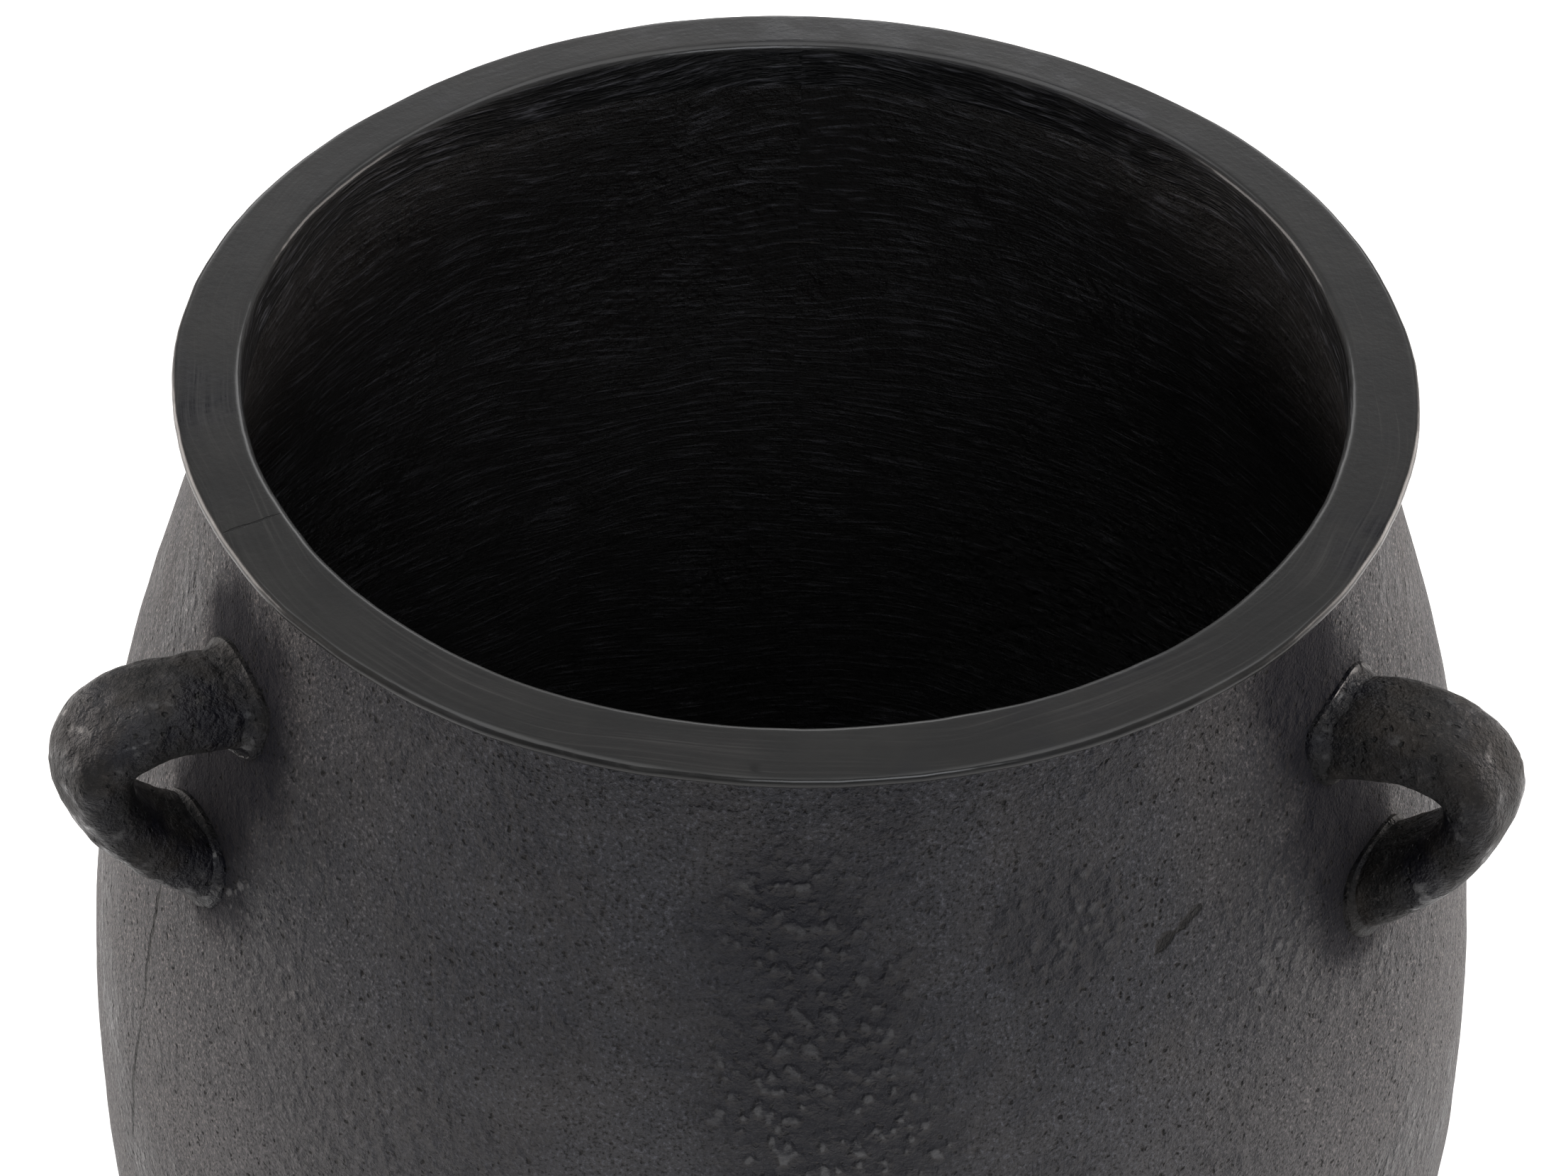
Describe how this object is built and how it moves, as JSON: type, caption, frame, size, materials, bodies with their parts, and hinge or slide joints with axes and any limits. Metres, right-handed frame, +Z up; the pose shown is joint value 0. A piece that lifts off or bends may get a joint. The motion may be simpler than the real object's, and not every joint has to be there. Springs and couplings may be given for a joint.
{
  "type": "clay pot",
  "caption": "Round-bellied black clay cooking pot with a wide mouth, a flat rounded rim and strap handles below the neck.",
  "frame": {"origin": "centre of the pot's underside, on the plane that it rests on", "axes": "+Z up along the pot's axis, front towards -Y, the back handle towards +Y"},
  "size_m": [0.401, 0.4008, 0.43],
  "materials": {
    "wall_clay": "smoke-fired black clay, dry and pitted with burnished patches",
    "rim_clay": "smoothed satin black clay",
    "handle_clay": "hand-formed brown-black clay with small glossy patches",
    "root_clay": "smeared black clay"
  },
  "bodies": {
    "root": {"base_disc": "wall_clay", "lower_bowl": "wall_clay", "belly_course": "wall_clay", "shoulder_course": "wall_clay", "neck_course": "wall_clay", "rim_coil": "rim_clay", "handle_front_left": "handle_clay", "handle_front_right": "handle_clay", "handle_back": "handle_clay", "upper_wad_front_left": "root_clay", "upper_wad_front_right": "root_clay", "upper_wad_back": "root_clay", "lower_wad_front_left": "root_clay", "lower_wad_front_right": "root_clay", "lower_wad_back": "root_clay"}
  },
  "joints": []
}
